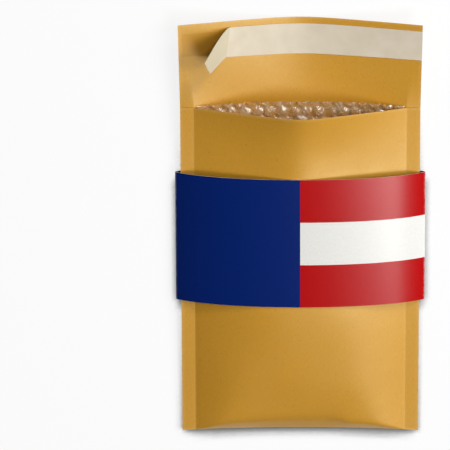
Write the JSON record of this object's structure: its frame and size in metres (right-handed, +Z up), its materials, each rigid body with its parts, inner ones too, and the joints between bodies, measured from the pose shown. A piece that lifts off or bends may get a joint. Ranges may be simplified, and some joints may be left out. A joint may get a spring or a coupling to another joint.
{
  "type": "padded envelope",
  "caption": "Open bubble-lined kraft paper mailer with side seams, a self-seal flap with a partly peeled release liner, and a loose printed paper band.",
  "frame": {"origin": "middle of the bounding box, on the surface that the back rests on", "axes": "+X across the mailer, +Y from the bottom fold to the tip of the flap, +Z up from the back to the front"},
  "size_m": [0.1604, 0.2876, 0.0394],
  "materials": {
    "kraft_paper": "golden brown kraft, matt with a faint sheen",
    "bubble_film": "clear polyethylene bubble film",
    "hot_melt": "tacky clear hot-melt on kraft",
    "liner_paper": "off-white coated release paper",
    "band_paper": "satin printed paper in blue, red and white fields"
  },
  "bodies": {
    "root": {"kraft_shell": "kraft_paper", "bubble_lining": "bubble_film", "adhesive_strip": "hot_melt", "release_liner": "liner_paper", "paper_band": "band_paper"}
  },
  "joints": []
}
